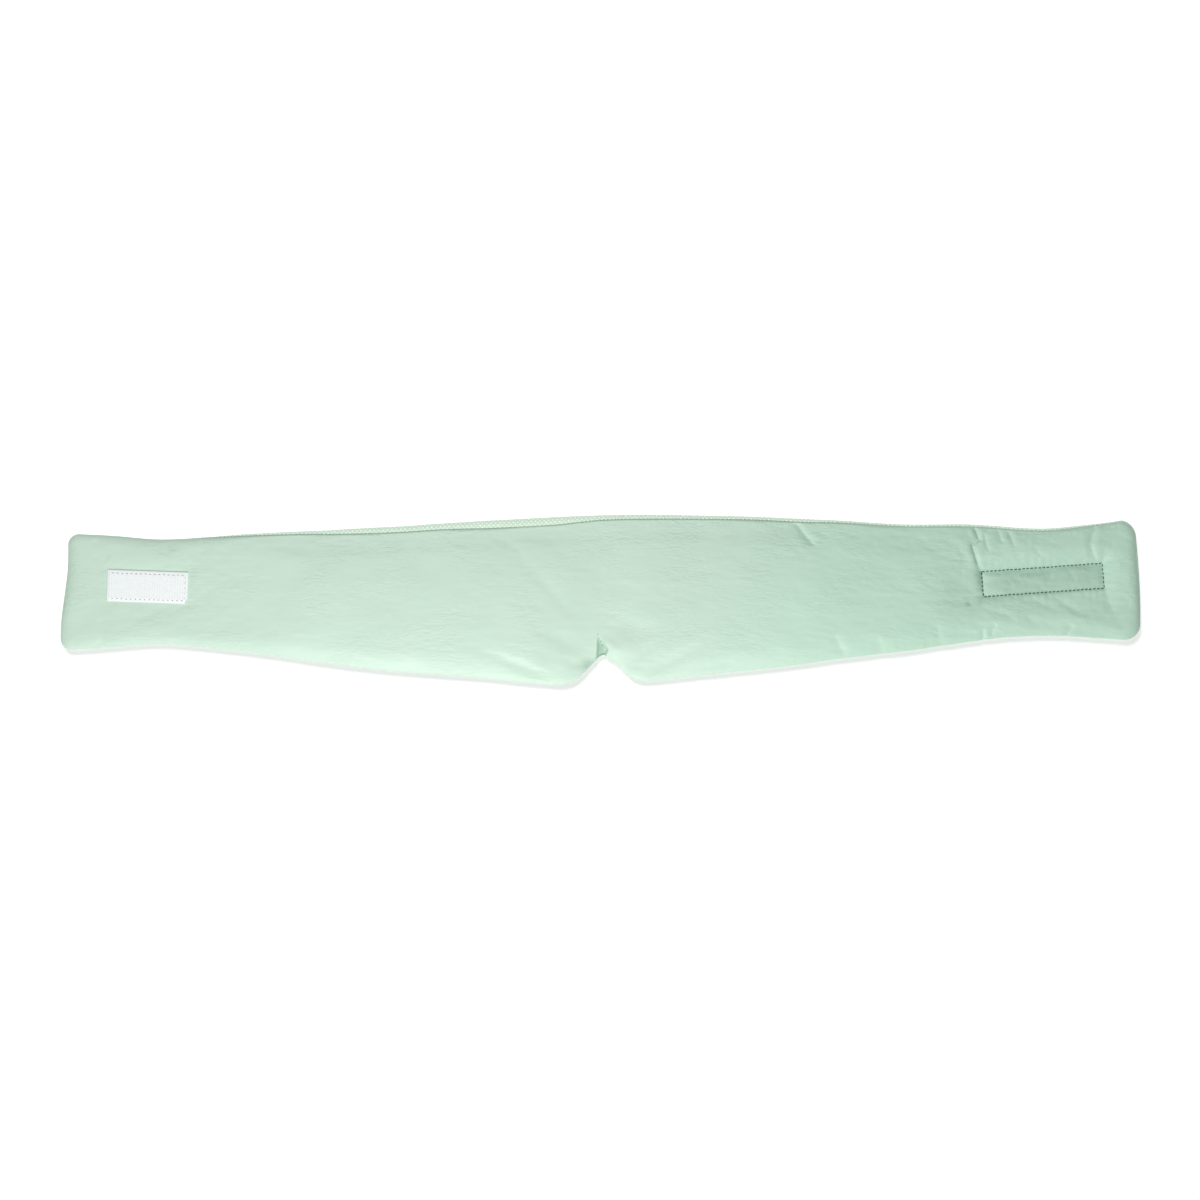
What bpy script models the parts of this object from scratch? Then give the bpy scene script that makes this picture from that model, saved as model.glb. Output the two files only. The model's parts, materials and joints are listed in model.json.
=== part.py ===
"""A padded wrap-round eye patch, lying flat, with its face side up.

A smooth inner cover and a knitted outer cover meet at a seam round the edge and hold one layer of
wadding. A hook tape is sewn on the face side of one end, and a loop tape on the outside of the other.
The band is divided at its flex lines into panels, because each panel turns about a hinge line.

Metres, +Z up. +X runs along the band to the loop end, and +Y to the brow edge. The origin is under the
middle of the band, on the surface that it lies on.
"""

import math

import bmesh
import bpy
import numpy as np
from mathutils import Matrix, Vector

MM = 0.001

# The band's outline. It runs from -HALF_LENGTH to +HALF_LENGTH.
HALF_LENGTH = 343 * MM
CORNER_RADIUS = 11 * MM
BROW_EDGE = [  # (x, y) in millimetres along the upper edge
    (-343, 43), (-310, 41.5), (-276, 39.3), (-220, 43), (-150, 46.5), (-70, 51.5),
    (10, 55), (90, 54), (150, 51.5), (190, 49), (235, 48.8), (280, 46.2), (312, 49), (343, 52.5),
]
CHEEK_EDGE = [  # (x, y) in millimetres along the lower edge, with the nose notch near the middle
    (-343, -31.5), (-310, -29.5), (-280, -27.3), (-230, -32), (-150, -42.5), (-80, -48.5),
    (-27, -53.2), (-17, -50.9), (-9, -44.5), (-1, -36.6), (4, -35), (8, -37), (14, -43.2),
    (21, -49.2), (30, -50.6), (65, -47.3), (115, -42), (150, -37), (200, -31), (250, -24),
    (285, -22.2), (315, -23.6), (343, -25.5),
]
ENDS_THIN_FROM = 200 * MM  # the padding gets thinner from here to the first thin station
ENDS_THIN_AT = 240 * MM

# Thickness. The seam is at SEAM_Z, and the face side rises above it.
SEAM_Z = 4.6 * MM
RISE_MIDDLE = 6.4 * MM
RISE_ENDS = 4.2 * MM
ROUNDING_UP = 26 * MM  # how far from the edge the face side reaches its full height
ROUNDING_DOWN = 14 * MM
ROUNDING_POWER = 2.2
COVER = 0.6 * MM
GAP = 0.35 * MM  # between touching pieces
PADDING_INSET = 1.4 * MM  # from the seam to the wadding's edge

# Flex lines, where one panel turns about the next: x at the hinge, and the largest angle in degrees.
HINGE_Z = 7 * MM
NOSE_X = 4 * MM
LOOP_SIDE_PITCH = 58.25 * MM
HOOK_SIDE_PITCH = 62.1 * MM
TIP_X = 325 * MM
NOSE_FLEX = 22
WRAP_FLEX = 48
HINGE_GAP = 0.4 * MM
PADDING_CLEARANCE = 0.3 * MM

# Tapes. Each lies on a flat seat pressed into the padding, turned a little in the plane of the band.
TAPE_WIDTH = 20 * MM
TAPE_BASE = 0.6 * MM
HOOK_TAPE_LENGTH = 51 * MM
HOOK_HEIGHT = 0.8 * MM
HOOK_CENTRE = (-287.5 * MM, 8.9 * MM)
HOOK_TILT = math.radians(-2)
HOOK_SEAT_Z = 7.3 * MM
HOOK_SELVEDGE = 3 * MM
LOOP_TAPE_LENGTH = 81 * MM
LOOP_HEIGHT = 0.9 * MM
LOOP_CENTRE = (281 * MM, 13.3 * MM)
LOOP_TILT = math.radians(4)
LOOP_SEAT_Z = LOOP_HEIGHT + TAPE_BASE + GAP
LOOP_SELVEDGE = 1 * MM
QUILT_Z = 4.3 * MM  # the face side where the loop tape's stitches pull it down
SEAT_MARGIN = 1.5 * MM
SEAT_BLEND = 6 * MM

THREAD_RADIUS = 0.25 * MM
STITCH_INSET = 1.9 * MM
DART_START = (1.2 * MM, -30.5 * MM)
DART_END = (-2.5 * MM, -20 * MM)

RIM = [0, 0.5 * MM, 2 * MM, 6 * MM, 13 * MM]  # rows of points, inwards from the seam
RIM_REACH = 20 * MM
MIDDLE_ROWS = [0.34, 0.5, 0.66]  # shares of the way from edge to edge
SEAT_ROWS = [-11.3 * MM, -4 * MM, 4 * MM, 11.3 * MM]
SEAT_STATIONS = [-1.28, -1.02, -0.5, 0, 0.5, 1.02, 1.28]  # halves of a tape, from its middle
PANEL_STATIONS = [0.25, 0.5, 0.75]  # shares of the way along a panel
NOTCH_STATIONS = [-34, -27, -21, -14, -9, -5, -1, 7, 11, 16, 21, 27, 36]  # x in millimetres
OUTLINE_SAMPLES = 700


def clear_scene():
    for obj in list(bpy.data.objects):
        bpy.data.objects.remove(obj)


def new_collection(name):
    collection = bpy.data.collections.new(name)
    bpy.context.scene.collection.children.link(collection)
    return collection


def material(name, colour, roughness):
    made = bpy.data.materials.new(name)
    made.use_nodes = True
    shader = made.node_tree.nodes["Principled BSDF"]
    shader.inputs["Base Color"].default_value = (*colour, 1)
    shader.inputs["Roughness"].default_value = roughness
    shader.inputs["Metallic"].default_value = 0
    return made


def smoothstep(t):
    t = min(max(t, 0), 1)
    return t * t * (3 - 2 * t)


def through(points, x):
    """y at x on the smooth curve through points given in millimetres (a cubic with Catmull-Rom slopes)."""
    xs = [p[0] * MM for p in points]
    ys = [p[1] * MM for p in points]
    i = min(max(np.searchsorted(xs, x) - 1, 0), len(xs) - 2)

    def slope(k):
        a, b = max(k - 1, 0), min(k + 1, len(xs) - 1)
        return (ys[b] - ys[a]) / (xs[b] - xs[a])

    step = xs[i + 1] - xs[i]
    t = (x - xs[i]) / step
    return (
        (1 + 2 * t) * (1 - t) ** 2 * ys[i]
        + t * (1 - t) ** 2 * step * slope(i)
        + t * t * (3 - 2 * t) * ys[i + 1]
        + t * t * (t - 1) * step * slope(i + 1)
    )


def corner_cut(x):
    """How far a rounded corner takes the edge in, near the ends of the band."""
    into = CORNER_RADIUS - (HALF_LENGTH - abs(x))
    if into <= 0:
        return 0
    return CORNER_RADIUS - math.sqrt(max(CORNER_RADIUS**2 - into**2, 0))


def brow(x):
    return through(BROW_EDGE, x) - corner_cut(x)


def cheek(x):
    return through(CHEEK_EDGE, x) + corner_cut(x)


def outline_corners():
    """Close points round the outline, in order, for measuring how far a place is from the edge."""
    xs = -HALF_LENGTH * np.cos(np.linspace(0, math.pi, OUTLINE_SAMPLES))
    upper = [(x, brow(x)) for x in xs]
    lower = [(x, cheek(x)) for x in reversed(xs)]
    return np.array(upper + lower)


OUTLINE = outline_corners()
OUTLINE_STEPS = np.roll(OUTLINE, -1, axis=0) - OUTLINE
OUTLINE_LENGTHS = np.maximum(np.sum(OUTLINE_STEPS**2, axis=1), 1e-18)


def nearest_edge(x, y):
    """Distance from the outline, and the direction that leads away from it inwards."""
    apart = np.array((x, y)) - OUTLINE
    share = np.clip(np.sum(apart * OUTLINE_STEPS, axis=1) / OUTLINE_LENGTHS, 0, 1)
    away = apart - OUTLINE_STEPS * share[:, None]
    nearest = int(np.argmin(np.sum(away**2, axis=1)))
    step = OUTLINE_STEPS[nearest] / math.sqrt(OUTLINE_LENGTHS[nearest])
    return float(np.linalg.norm(away[nearest])), (step[1], -step[0])


def from_edge(x, y):
    """Distance from the nearest part of the outline, or 0 outside it."""
    if abs(x) >= HALF_LENGTH - 1e-9 or y >= brow(x) - 1e-9 or y <= cheek(x) + 1e-9:
        return 0
    return nearest_edge(x, y)[0]


def moved_in(x, y, inset):
    """A place moved inwards, by inset at the edge and less further in."""
    distance, inwards = nearest_edge(x, y)
    shift = inset * max(1 - distance / RIM_REACH, 0)
    if HALF_LENGTH - abs(x) > CORNER_RADIUS:
        return x, y + math.copysign(shift, (brow(x) + cheek(x)) / 2 - y)
    return x + shift * inwards[0], y + shift * inwards[1]


def rounded(distance, reach):
    """0 at the seam and 1 from reach inwards, upright at the seam."""
    t = min(distance / reach, 1)
    return (1 - (1 - t) ** ROUNDING_POWER) ** (1 / ROUNDING_POWER)


def rise(x):
    thin = smoothstep((abs(x) - ENDS_THIN_FROM) / (ENDS_THIN_AT - ENDS_THIN_FROM))
    return RISE_MIDDLE + (RISE_ENDS - RISE_MIDDLE) * thin


def seat_weight(x, y, centre, tilt, length):
    """1 on a tape's seat, falling to 0 at SEAT_BLEND outside it."""
    along = (x - centre[0]) * math.cos(tilt) + (y - centre[1]) * math.sin(tilt)
    across = (y - centre[1]) * math.cos(tilt) - (x - centre[0]) * math.sin(tilt)
    past = (
        max(abs(along) - length / 2 - SEAT_MARGIN, 0),
        max(abs(across) - TAPE_WIDTH / 2 - SEAT_MARGIN, 0),
    )
    return 1 - smoothstep(math.hypot(*past) / SEAT_BLEND)


def face_side(x, y):
    """Height of the inner cover's outside."""
    z = SEAM_Z + GAP / 2 + rise(x) * rounded(from_edge(x, y), ROUNDING_UP)
    seat = seat_weight(x, y, HOOK_CENTRE, HOOK_TILT, HOOK_TAPE_LENGTH)
    quilt = seat_weight(x, y, LOOP_CENTRE, LOOP_TILT, LOOP_TAPE_LENGTH)
    z += (HOOK_SEAT_Z - z) * seat
    return z + (QUILT_Z - z) * quilt


def outer_side(x, y):
    """Height of the outer cover's outside."""
    z = (SEAM_Z - GAP / 2) * (1 - rounded(from_edge(x, y), ROUNDING_DOWN))
    return z + (LOOP_SEAT_Z - z) * seat_weight(x, y, LOOP_CENTRE, LOOP_TILT, LOOP_TAPE_LENGTH)


def parallel(surface, offset, x, y):
    """Height of the parallel to a surface. Near the edge it keeps to the surface's side of the seam."""
    step = 0.2 * MM
    along = (surface(x + step, y) - surface(x - step, y)) / (2 * step)
    across = (surface(x, y + step) - surface(x, y - step)) / (2 * step)
    z = surface(x, y) + offset * math.sqrt(1 + along**2 + across**2)
    if from_edge(x, y) > RIM[2]:
        return z
    return max(z, SEAM_Z + GAP / 2) if surface is face_side else min(z, SEAM_Z - GAP / 2)


class Panel:
    """One rigid length of the band, between two flex lines or from a flex line to an end."""

    def __init__(self, name, low, high, low_flex, high_flex, stations, seat=None):
        self.name, self.low, self.high = name, low, high
        self.low_flex, self.high_flex = low_flex, high_flex
        self.stations = stations
        self.seat = seat  # (centre, tilt) of the tape that the rows of points follow

    def xs(self, clearance):
        """Stations along the panel, clear of the flex lines."""
        gap = HINGE_GAP / 2 + clearance
        start = [self.low + gap] if self.low_flex else [self.low + d for d in RIM]
        stop = [self.high - gap] if self.high_flex else [self.high - d for d in reversed(RIM)]
        return start + self.stations + stop

    def ys(self, x):
        bottom, top = cheek(x), brow(x)
        rim = RIM[:4] if self.seat else RIM
        if self.seat:
            centre, tilt = self.seat
            middle = centre[1] + (x - centre[0]) * math.tan(tilt)
            inner = [middle + offset for offset in SEAT_ROWS]
            inner.insert(0, (bottom + rim[-1] + inner[0]) / 2)
            inner.append((top - rim[-1] + inner[-1]) / 2)
        else:
            inner = [bottom + (top - bottom) * share for share in MIDDLE_ROWS]
        return [bottom + d for d in rim] + inner + [top - d for d in reversed(rim)]

    def places(self, inset, clearance):
        stations = self.xs(clearance)
        return [moved_in(x, y, inset) for x in stations for y in self.ys(x)]

    def tapered(self, x, z):
        """x moved away from the flex lines above the hinge, so that the panels close up without meeting."""
        above = max(z - HINGE_Z, 0)
        share = (x - self.low) / (self.high - self.low)
        x += (1 - share) * above * math.tan(math.radians(self.low_flex) / 2)
        return x - share * above * math.tan(math.radians(self.high_flex) / 2)


def seat_stations(centre, length):
    return [centre[0] + length / 2 * share for share in SEAT_STATIONS]


def make_panels():
    hook = [NOSE_X - HOOK_SIDE_PITCH * k for k in range(5)]
    loop = [NOSE_X + LOOP_SIDE_PITCH * k for k in range(5)]
    notch = [x * MM for x in NOTCH_STATIONS]
    left_notch = [x for x in notch if x < NOSE_X]
    right_notch = [x for x in notch if x > NOSE_X]
    hook_seat, loop_seat = (HOOK_CENTRE, HOOK_TILT), (LOOP_CENTRE, LOOP_TILT)
    hook_stations = seat_stations(HOOK_CENTRE, HOOK_TAPE_LENGTH)
    loop_stations = seat_stations(LOOP_CENTRE, LOOP_TAPE_LENGTH)[1:-1]
    panels = [
        Panel("hook_end", -HALF_LENGTH, hook[4], 0, WRAP_FLEX, hook_stations, hook_seat),
        Panel("left_eye", hook[1], hook[0], WRAP_FLEX, NOSE_FLEX, left_notch),
        Panel("right_eye", loop[0], loop[1], NOSE_FLEX, WRAP_FLEX, right_notch),
        Panel("loop_end", loop[4], TIP_X, WRAP_FLEX, WRAP_FLEX, loop_stations, loop_seat),
        Panel("loop_tip", TIP_X, HALF_LENGTH, WRAP_FLEX, 0, [], loop_seat),
    ]
    for side, flexes in (("hook", hook[::-1]), ("loop", loop)):
        names = ["temple", "side", "rear"] if side == "loop" else ["rear", "side", "temple"]
        first = 1 if side == "loop" else 0
        for name, low, high in zip(names, flexes[first:], flexes[first + 1:]):
            stations = [low + (high - low) * share for share in PANEL_STATIONS]
            panels.append(Panel(f"{side}_{name}", low, high, WRAP_FLEX, WRAP_FLEX, stations))
    return panels


def finish_mesh(name, shape, look, collection):
    bmesh.ops.recalc_face_normals(shape, faces=shape.faces)
    if shape.calc_volume(signed=True) < 0:
        bmesh.ops.reverse_faces(shape, faces=shape.faces)
    mesh = bpy.data.meshes.new(name)
    shape.to_mesh(mesh)
    shape.free()
    mesh.materials.append(look)
    mesh.shade_smooth()
    mesh.set_sharp_from_angle(angle=math.radians(40))
    obj = bpy.data.objects.new(name, mesh)
    collection.objects.link(obj)
    return obj


def in_grid_order(points):
    return sorted(points, key=lambda v: (round(v.co.x, 5), round(v.co.y, 5)))


def make_layer(name, panel, upper, lower, clearance, look, collection):
    """One panel of a cover or of the wadding, as a slab between two smooth surfaces.

    upper and lower are each (surface, how far below or above it, inset from the seam).
    """
    columns = len(panel.xs(clearance))
    rows = len(panel.ys(panel.low))
    shape = bmesh.new()
    bmesh.ops.create_grid(shape, x_segments=columns - 1, y_segments=rows - 1, size=1)
    lower_points = in_grid_order(shape.verts)
    raised = bmesh.ops.extrude_face_region(shape, geom=shape.faces[:])["geom"]
    upper_points = in_grid_order(v for v in raised if isinstance(v, bmesh.types.BMVert))
    for points, (surface, offset, inset) in ((upper_points, upper), (lower_points, lower)):
        for point, (x, y) in zip(points, panel.places(inset, clearance)):
            z = parallel(surface, offset, x, y)
            point.co = (panel.tapered(x, z), y, z)
    return finish_mesh(f"{name}_{panel.name}", shape, look, collection)


def make_panel(panel, satin, knit, wadding, collection):
    """The inner cover, the outer cover and the wadding between them."""
    clear = COVER + GAP
    make_layer(
        "inner_cover", panel, (face_side, 0, 0), (face_side, -COVER, COVER), 0, satin, collection
    )
    make_layer(
        "outer_cover", panel, (outer_side, COVER, COVER), (outer_side, 0, 0), 0, knit, collection
    )
    make_layer(
        "padding", panel, (face_side, -clear, PADDING_INSET), (outer_side, clear, PADDING_INSET),
        PADDING_CLEARANCE, wadding, collection,
    )


def make_tape(name, centre, tilt, length, base_z, field_height, selvedge, look, collection):
    """A woven tape with its field of hooks or loops raised inside a plain selvedge."""
    shape = bmesh.new()
    bmesh.ops.create_cube(shape, size=1)
    bmesh.ops.scale(shape, vec=(length, TAPE_WIDTH, TAPE_BASE), verts=shape.verts)
    toward = 1 if field_height > 0 else -1
    field = max(shape.faces, key=lambda f: toward * f.calc_center_median().z)
    bmesh.ops.inset_region(shape, faces=[field], thickness=selvedge, use_even_offset=True)
    raised = bmesh.ops.extrude_discrete_faces(shape, faces=[field])["faces"][0]
    bmesh.ops.translate(shape, verts=raised.verts, vec=(0, 0, field_height))
    tape = finish_mesh(name, shape, look, collection)
    tape.location = (*centre, base_z)
    tape.rotation_euler = (0, 0, tilt)
    return tape


def make_thread(name, points, closed, look, collection):
    """A length of sewing thread as a round curve through points."""
    curve = bpy.data.curves.new(name, "CURVE")
    curve.dimensions = "3D"
    curve.bevel_depth = THREAD_RADIUS
    curve.bevel_resolution = 1
    curve.use_fill_caps = not closed
    curve.materials.append(look)
    spline = curve.splines.new("POLY")
    spline.points.add(len(points) - 1)
    for place, point in zip(spline.points, points):
        place.co = (*point, 1)
    spline.use_cyclic_u = closed
    thread = bpy.data.objects.new(name, curve)
    collection.objects.link(thread)
    return thread


def stitch_frame(centre, tilt, length, z):
    """Corners and sides of the row of stitches round a tape, just inside its edges."""
    half = Vector((length / 2 - STITCH_INSET, TAPE_WIDTH / 2 - STITCH_INSET))
    turn = Matrix.Rotation(tilt, 2)
    corners = [(-1, -1), (0, -1), (1, -1), (1, 0), (1, 1), (0, 1), (-1, 1), (-1, 0)]
    placed = [turn @ Vector((cx * half.x, cy * half.y)) + Vector(centre) for cx, cy in corners]
    return [(p.x, p.y, z) for p in placed]


def main():
    clear_scene()
    eye_patch = new_collection("Eye patch")
    satin = material("Face side satin", (0.62, 0.80, 0.69), 0.55)
    knit = material("Outside knit", (0.72, 0.87, 0.76), 0.8)
    wadding = material("Wadding", (0.92, 0.92, 0.90), 0.95)
    tape_white = material("White tape", (0.90, 0.92, 0.92), 0.6)
    tape_green = material("Green tape", (0.55, 0.74, 0.62), 0.85)
    thread_grey = material("Grey thread", (0.62, 0.66, 0.66), 0.6)
    thread_green = material("Green thread", (0.16, 0.38, 0.27), 0.6)

    for panel in make_panels():
        make_panel(panel, satin, knit, wadding, eye_patch)

    hook_base_z = HOOK_SEAT_Z + GAP + TAPE_BASE / 2
    make_tape(
        "hook_tape", HOOK_CENTRE, HOOK_TILT, HOOK_TAPE_LENGTH, hook_base_z,
        HOOK_HEIGHT, HOOK_SELVEDGE, tape_white, eye_patch,
    )
    make_tape(
        "loop_tape", LOOP_CENTRE, LOOP_TILT, LOOP_TAPE_LENGTH, LOOP_HEIGHT + TAPE_BASE / 2,
        -LOOP_HEIGHT, LOOP_SELVEDGE, tape_green, eye_patch,
    )
    lift = GAP + THREAD_RADIUS
    hook_thread_z = hook_base_z + TAPE_BASE / 2 + lift
    hook_frame = stitch_frame(HOOK_CENTRE, HOOK_TILT, HOOK_TAPE_LENGTH, hook_thread_z)
    make_thread("hook_tape_stitching", hook_frame, True, thread_grey, eye_patch)
    loop_frame = stitch_frame(LOOP_CENTRE, LOOP_TILT, LOOP_TAPE_LENGTH, QUILT_Z + lift)
    make_thread("loop_tape_stitching", loop_frame, True, thread_green, eye_patch)
    dart = []
    for k in range(6):
        x = DART_START[0] + (DART_END[0] - DART_START[0]) * k / 5
        y = DART_START[1] + (DART_END[1] - DART_START[1]) * k / 5
        dart.append((x, y, face_side(x, y) + 2 * lift))
    make_thread("nose_dart_stitching", dart, False, thread_green, eye_patch)


main()
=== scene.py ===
"""The looks of a padded wrap-round eye patch, lying flat with its face side up.

A satin face cover and a dotted knit outer cover meet at a seam round the edge. Both are grids,
worked out across the band column by column. A cloth simulation moves the face cover, and both are
then given their creases and crinkles. Each cover is cut at the middles of the CAD bodies.

Metres, +Z up, in the CAD's frame: +X runs to the loop end and +Y to the brow edge.
"""

import json
import math

import bpy
import numpy as np
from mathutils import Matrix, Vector, noise

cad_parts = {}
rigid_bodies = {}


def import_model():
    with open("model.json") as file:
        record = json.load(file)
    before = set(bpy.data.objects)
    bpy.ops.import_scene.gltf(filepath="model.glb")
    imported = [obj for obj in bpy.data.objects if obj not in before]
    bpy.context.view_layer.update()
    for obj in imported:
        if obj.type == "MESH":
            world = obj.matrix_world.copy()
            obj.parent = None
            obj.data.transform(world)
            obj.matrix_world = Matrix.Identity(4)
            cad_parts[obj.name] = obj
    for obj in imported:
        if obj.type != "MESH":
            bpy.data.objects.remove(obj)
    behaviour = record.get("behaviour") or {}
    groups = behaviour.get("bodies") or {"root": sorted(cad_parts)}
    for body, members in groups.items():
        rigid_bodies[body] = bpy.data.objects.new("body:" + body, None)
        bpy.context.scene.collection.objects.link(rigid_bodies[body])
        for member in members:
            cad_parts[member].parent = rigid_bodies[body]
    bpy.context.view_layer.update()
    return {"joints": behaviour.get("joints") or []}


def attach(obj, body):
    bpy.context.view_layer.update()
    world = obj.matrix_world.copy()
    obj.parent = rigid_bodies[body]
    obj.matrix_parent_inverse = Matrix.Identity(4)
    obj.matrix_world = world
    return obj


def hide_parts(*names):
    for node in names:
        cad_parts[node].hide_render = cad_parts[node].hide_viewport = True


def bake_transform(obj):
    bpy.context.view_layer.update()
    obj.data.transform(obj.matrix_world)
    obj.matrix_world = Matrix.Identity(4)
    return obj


MM = 0.001

# The band's outline, as in the CAD.
HALF_LENGTH = 343 * MM
CORNER_RADIUS = 11 * MM
HOOK_CORNER_RADIUS = 7.5 * MM
BROW_EDGE = [  # (x, y) in millimetres along the upper edge
    (-343, 43), (-310, 41.5), (-276, 39.3), (-220, 43), (-150, 46.5), (-70, 51.5),
    (10, 55), (90, 54), (150, 51.5), (190, 49), (235, 48.8), (280, 46.2), (312, 49), (343, 52.5),
]
CHEEK_EDGE = [  # (x, y) in millimetres along the lower edge, with the nose notch near the middle
    (-343, -31.5), (-310, -29.5), (-280, -27.3), (-230, -32), (-150, -42.5), (-80, -48.5),
    (-27, -53.2), (-17, -50.9), (-9, -44.5), (-1, -36.6), (4, -35), (8, -37), (14, -43.2),
    (21, -49.2), (30, -50.6), (65, -47.3), (115, -42), (150, -37), (200, -31), (250, -24),
    (285, -22.2), (315, -23.6), (343, -25.5),
]
SEAM_ROLL = [  # (x, how far the seam lies in from the brow edge) in millimetres
    (-343, 0), (-270, 0), (-229, 1.3), (-190, 2.1), (-165, 3.2), (-127, 4.2), (-100, 4.3),
    (-70, 5.3), (-30, 5.4), (-13, 4.3), (0, 3.4), (40, 2.9), (90, 2.3), (130, 2.5), (145, 1.9),
    (165, 1.6), (300, 1.5), (325, 0.8), (343, 0),
]
CHEEK_SEAM_UNDER = 2.2 * MM  # the seam is tucked this far under the cheek edge

# Thickness.
EDGE_Z = 4.6 * MM
RISE_MIDDLE = 5.8 * MM
RISE_ENDS = 4.2 * MM
REACH_MIDDLE = 40 * MM  # from the edge to where the padding is at its full height
REACH_ENDS = 15 * MM
REACH_LOOP_END = 7.5 * MM
ENDS_FROM = 200 * MM  # the padding starts to thin this far from the middle
REACH_UNDER = 14 * MM
CROWN_POWER = 2.3
BROW_FALL = 0.055  # how much more the middle of the face side slopes down towards the brow

# Tapes, as in the CAD.
TAPE_WIDTH = 20 * MM
HOOK_CENTRE = (-287.5 * MM, 8.9 * MM)
HOOK_TILT = math.radians(-2)
HOOK_LENGTH = 51 * MM
LOOP_CENTRE = (281 * MM, 13.3 * MM)
LOOP_TILT = math.radians(4)
LOOP_LENGTH = 81 * MM
STITCH_INSET = 1.9 * MM
HOOK_TAPE = (HOOK_CENTRE, HOOK_TILT, HOOK_LENGTH, TAPE_WIDTH)
LOOP_TAPE = (LOOP_CENTRE, LOOP_TILT, LOOP_LENGTH, TAPE_WIDTH)
QUILTING = (LOOP_CENTRE, LOOP_TILT, LOOP_LENGTH - 2 * STITCH_INSET, TAPE_WIDTH - 2 * STITCH_INSET)
STITCH_LINE = TAPE_WIDTH / 2 - STITCH_INSET  # from a tape's middle line to its stitching
QUILT_Z = 4.3 * MM
QUILT_SLOPE = 0.18  # the quilted strip falls towards the brow
HOOK_SEAT_Z = 7.5 * MM
LOOP_SEAT_Z = 1.85 * MM

HOOK_TAPE_Z = (7.65 * MM, 8.25 * MM)  # its base, under the hooks
HOOK_CLIP = (1.4 * MM, 4 * MM)  # the corner clipped off it, along and across
HOOK_ROWS = 11
HOOK_COLUMNS = 31
HOOK_RADIUS = 0.11 * MM
HOOK_PAD_TOP = 8.5 * MM  # about how high the padding round it stands at most
HOOK_PAD_RISE = 4.5 * MM  # how much higher it may stand in the middle of the band
HOOK_PAD_RAMP = (-238 * MM, 90 * MM)  # where that rise starts, and its length
HOOK_PAD_SOFT = 0.5 * MM
LOOP_TAPE_Z = (0.8 * MM, 1.5 * MM)  # its base, above the loops
LOOP_PITCH = 1.6 * MM
LOOP_RADIUS = 0.13 * MM

# Threads, and the length and spacing of their stitches.
THREAD_RADIUS = 0.3 * MM
FINE_THREAD_RADIUS = 0.2 * MM
QUILT_STITCH = (1.75 * MM, 2.6 * MM)
HOOK_STITCH = (1.0 * MM, 3.0 * MM)
DART_STITCH = (1.3 * MM, 2.2 * MM)
DART_STITCH_ENDS = ((1.6 * MM, -29.0 * MM), (-2.2 * MM, -20.0 * MM))

# Both ends lean: how far the edge moves in at the brow corner.
HOOK_END_LEAN = 4.8 * MM
LOOP_END_LEAN = 3.6 * MM

# Creases of the face side: (depth, width, how much higher the left side is, points) in millimetres.
CREASES = [
    (1.3, 0.8, -0.3, [
        (237, 50), (238.3, 44), (240.2, 39), (235.8, 35.2), (238.4, 27), (241, 19.5),
    ]),
    (-0.3, 1.2, 0.1, [(256, 8.5), (268, 12.5), (284, 17), (304, 19.6), (318, 19)]),
    (-0.25, 1.1, 0.2, [(262, 16), (276, 13), (290, 11), (306, 12.5)]),
    (0.6, 1, 0.3, [(243.4, 43.5), (244, 39), (246.4, 31)]),
    (0.45, 1, 0.2, [(252.2, 46.5), (253.4, 41.5), (255.2, 36)]),
    (0.5, 1, 0.2, [(258.2, 45.5), (260.2, 40.5), (263.2, 33.5)]),
    (0.8, 1.2, 0.8, [(315.6, 50.5), (312.4, 43), (311, 36), (312.6, 30), (315.2, 25)]),
    (0.5, 2.4, 0.5, [(320.6, 7), (322.6, 0), (325.6, -8.5)]),
    (0.6, 1.2, 0.4, [(243, 4.8), (238.6, 2.8), (234.8, 0.4), (233.4, -3.4)]),
    (0.6, 1, 0.4, [(242.6, -17), (243, -21.5), (243.5, -28)]),
    (0.5, 1.1, 0.3, [(251.6, -14.5), (249.4, -17.5), (247.6, -22.5)]),
    (0.5, 1.4, 0.3, [(300, -15), (297, -19), (295.4, -25)]),
    (0.9, 1.3, 0.5, [(122.6, 53.5), (125, 48.5), (130.2, 41.5), (136.6, 34)]),
    (0.5, 2.2, 0.3, [(147.5, -21), (151, -27), (155.6, -36)]),
    (0.4, 2.6, 0.3, [(174, -22), (177.6, -29), (179, -35.5)]),
    (0.5, 2.2, 0.3, [(213, -14), (214.6, -22.5), (216.8, -31)]),
    (0.5, 2.6, 0.4, [(-327, 39), (-320, 32.5), (-313.4, 26)]),
    (0.4, 2.4, 0.3, [(-325, 30), (-320, 24), (-317.4, 17)]),
    (0.5, 2.6, -0.3, [(-318.6, -10), (-315.6, -19), (-316.8, -30.5)]),
    (0.4, 2.6, 0.3, [(-275.4, 42), (-274, 35), (-276.6, 28)]),
    (0.4, 2.4, 0.3, [(-251.6, 42.5), (-252.6, 36), (-250.6, 29.5)]),
]

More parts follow.
